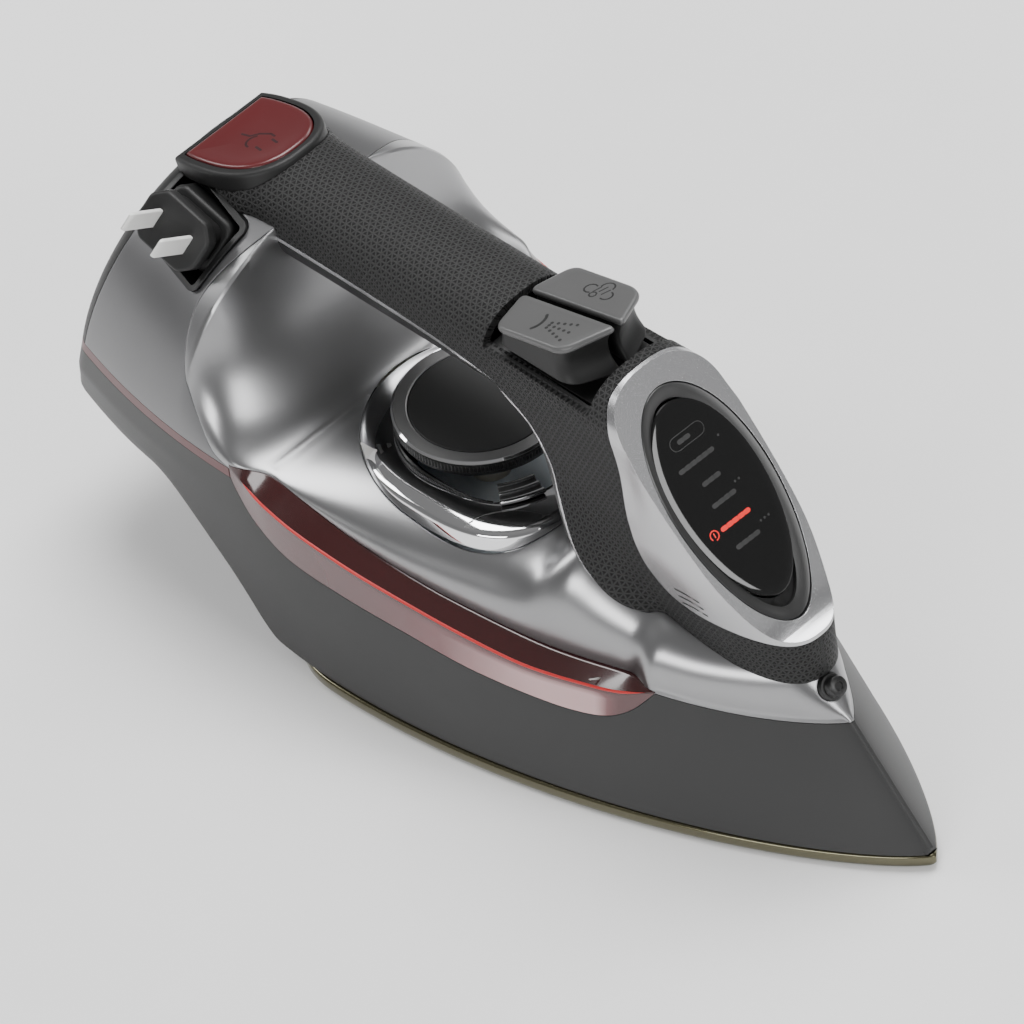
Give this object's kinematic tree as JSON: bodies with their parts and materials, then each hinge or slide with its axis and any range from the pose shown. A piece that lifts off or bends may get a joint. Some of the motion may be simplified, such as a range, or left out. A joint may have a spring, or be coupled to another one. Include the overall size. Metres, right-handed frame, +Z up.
{
  "type": "clothes iron",
  "caption": "Steam iron with a retractable cord, slanted display, steam dial, spray and steam buttons, red water windows and a pointed ceramic soleplate.",
  "frame": {"origin": "on the ironing surface, under the middle of the overall length, on the centre line", "axes": "+X towards the tip, +Y towards the iron's left, +Z up from the soleplate"},
  "size_m": [0.31, 0.1248, 0.1549],
  "materials": {
    "sole_coat": "glossy olive bronze ceramic coating",
    "cast_aluminium": "as cast",
    "element_steel": "heat tinted",
    "dark_grey_plastic": "fine matte",
    "silver_paint": "metallic silver paint under clear coat",
    "satin_silver": "satin metallic grey paint",
    "red_window": "translucent red",
    "stripe_red": "satin dull red",
    "grip_rubber": "embossed soft touch",
    "black_plastic": "fine matte",
    "button_grey": "satin",
    "red_plastic": "gloss",
    "chrome": "polished",
    "black_glass": "high gloss",
    "board_green": "solder mask",
    "spring_steel": "drawn wire",
    "white_plastic": "natural nylon",
    "clear_plastic": "clear",
    "cord_jacket": "matte PVC",
    "blade_nickel": "nickel plated",
    "copper": "bright"
  },
  "bodies": {
    "iron_body": {"soleplate": "sole_coat", "heater_block": "cast_aluminium", "heating_element": "element_steel", "chamber_cover": "cast_aluminium", "thermostat": "white_plastic", "thermal_fuse": "element_steel", "skirt": "dark_grey_plastic", "upper_body": "silver_paint", "window_right": "red_window", "window_left": "red_window", "water_tank": "clear_plastic", "steam_valve": "white_plastic", "spray_nozzle": "black_plastic", "spray_tube": "white_plastic", "spray_pump": "white_plastic", "steam_pump": "white_plastic", "fill_neck": "dark_grey_plastic", "rear_hood": "satin_silver", "hood_stripe": "stripe_red", "heel_cover": "black_plastic", "heel_feet": "grip_rubber", "grip_shell": "grip_rubber", "grip_trim": "silver_paint", "grip_underside": "black_plastic", "button_frame": "black_plastic", "display_bezel": "silver_paint", "display_frame": "button_grey", "display_glass": "black_glass", "display_board": "board_green", "control_board": "board_green", "dial_plate": "chrome", "spray_spring": "spring_steel", "steam_spring": "spring_steel", "rewind_surround": "black_plastic", "rewind_spring": "spring_steel", "reel_axle": "spring_steel", "reel_spring": "spring_steel", "reel_contacts": "copper", "plug_recess": "black_plastic", "cord_grommet": "black_plastic", "case_screws": "spring_steel"},
    "dial": {"dial_knob": "black_plastic", "dial_ring": "satin_silver", "dial_cap": "black_plastic", "dial_shaft": "white_plastic"},
    "slider": {"steam_slider": "chrome"},
    "spray_key": {"spray_button": "button_grey"},
    "steam_key": {"steam_button": "button_grey"},
    "rewind_key": {"rewind_button": "red_plastic"},
    "reel": {"reel_drum": "white_plastic", "wound_cord": "cord_jacket"},
    "plug": {"plug_body": "black_plastic", "plug_blades": "blade_nickel", "cord_lead": "cord_jacket"},
    "fill_flap": {"fill_door": "silver_paint"}
  },
  "joints": [
    {"name": "dial_turn", "type": "hinge", "parent": "iron_body", "child": "dial", "pos_m": [-0.0231, 0, 0.0765], "axis": [0, 0, 1], "range_deg": [-120, 30]},
    {"name": "steam_slide", "type": "hinge", "parent": "iron_body", "child": "slider", "pos_m": [-0.0231, 0, 0.0765], "axis": [0, 0, 1], "range_deg": [0, 40]},
    {"name": "spray_press", "type": "slide", "parent": "iron_body", "child": "spray_key", "axis": [0, 0, -1], "range_m": [0, 0.003], "stiffness_N_per_m": 600, "springref_m": -0.002, "deforming": ["spray_spring"]},
    {"name": "steam_press", "type": "slide", "parent": "iron_body", "child": "steam_key", "axis": [0, 0, -1], "range_m": [0, 0.003], "stiffness_N_per_m": 600, "springref_m": -0.002, "deforming": ["steam_spring"]},
    {"name": "rewind_press", "type": "slide", "parent": "iron_body", "child": "rewind_key", "axis": [0.2756, 0, -0.9613], "range_m": [0, 0.0016], "stiffness_N_per_m": 900, "springref_m": -0.002, "deforming": ["rewind_spring"]},
    {"name": "plug_pull", "type": "slide", "parent": "iron_body", "child": "plug", "axis": [0.1701, -0.7905, 0.5884], "range_m": [0, 0.03]},
    {"name": "reel_spin", "type": "hinge", "parent": "iron_body", "child": "reel", "pos_m": [-0.103, 0, 0.06], "axis": [0, 0, 1], "range_deg": [0, 60]},
    {"name": "fill_door_open", "type": "hinge", "parent": "iron_body", "child": "fill_flap", "pos_m": [0.045, 0.0396, 0.052], "axis": [-1, 0, 0], "range_deg": [0, 95]}
  ],
  "couplings": [
    {"joint": "reel_spin", "follows": "plug_pull", "rad_per_m": 29.326}
  ]
}
